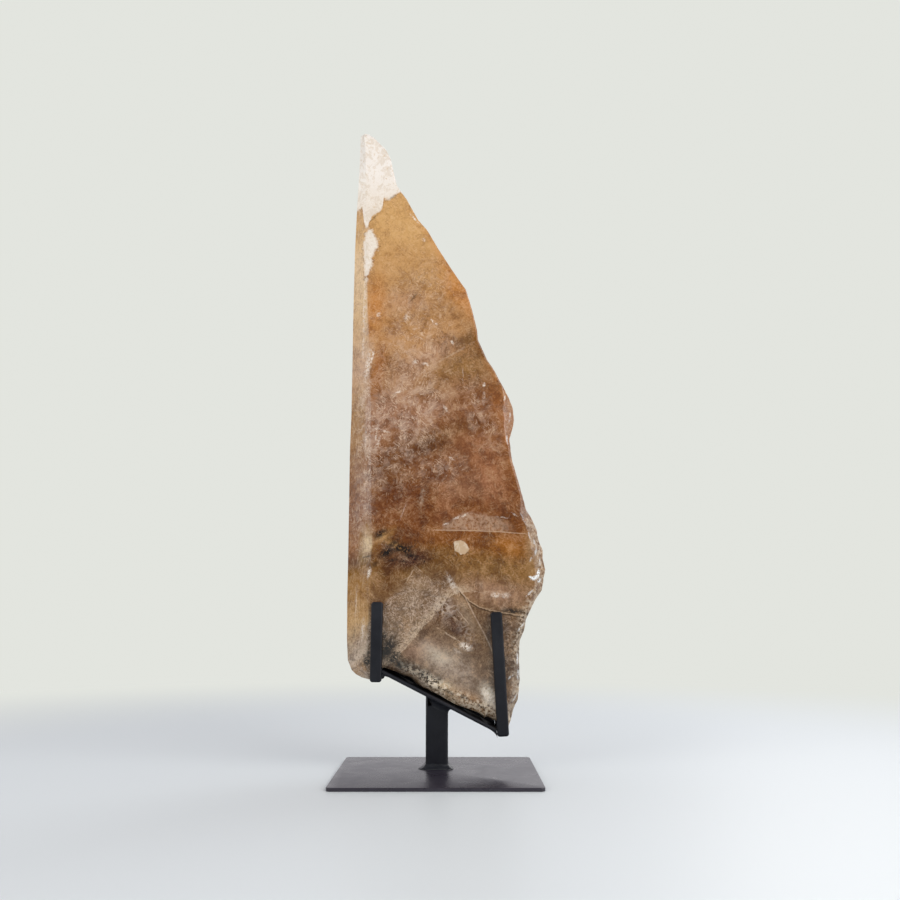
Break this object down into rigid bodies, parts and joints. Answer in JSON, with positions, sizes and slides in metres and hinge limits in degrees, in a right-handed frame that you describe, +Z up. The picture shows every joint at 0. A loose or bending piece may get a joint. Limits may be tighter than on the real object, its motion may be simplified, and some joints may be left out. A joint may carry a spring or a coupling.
{
  "type": "polished quartz slab on a stand",
  "caption": "Tall polished quartz slab with one straight side and one broken side, resting upright on the sloped bar of a black iron stand.",
  "frame": {"origin": "on the base plate's underside, below the middle of the post, where the stand meets the surface it stands on", "axes": "+Z up along the slab's height, -Y out of the slab's polished front face, +X towards the lower end of the cradle bar"},
  "size_m": [0.1872, 0.1636, 0.6048],
  "materials": {
    "quartz": "polished, cloudy and slightly see-through",
    "plate_iron": "satin black paint",
    "black_iron": "satin black paint",
    "weld_iron": "painted weld bead"
  },
  "bodies": {
    "root": {"slab": "quartz", "base_plate": "plate_iron", "post": "black_iron", "cradle_bar": "black_iron", "left_front_prong": "black_iron", "left_rear_prong": "black_iron", "right_front_prong": "black_iron", "right_rear_prong": "black_iron", "foot_weld": "weld_iron", "head_weld": "weld_iron", "left_front_weld": "weld_iron", "left_rear_weld": "weld_iron", "right_front_weld": "weld_iron", "right_rear_weld": "weld_iron"}
  },
  "joints": []
}
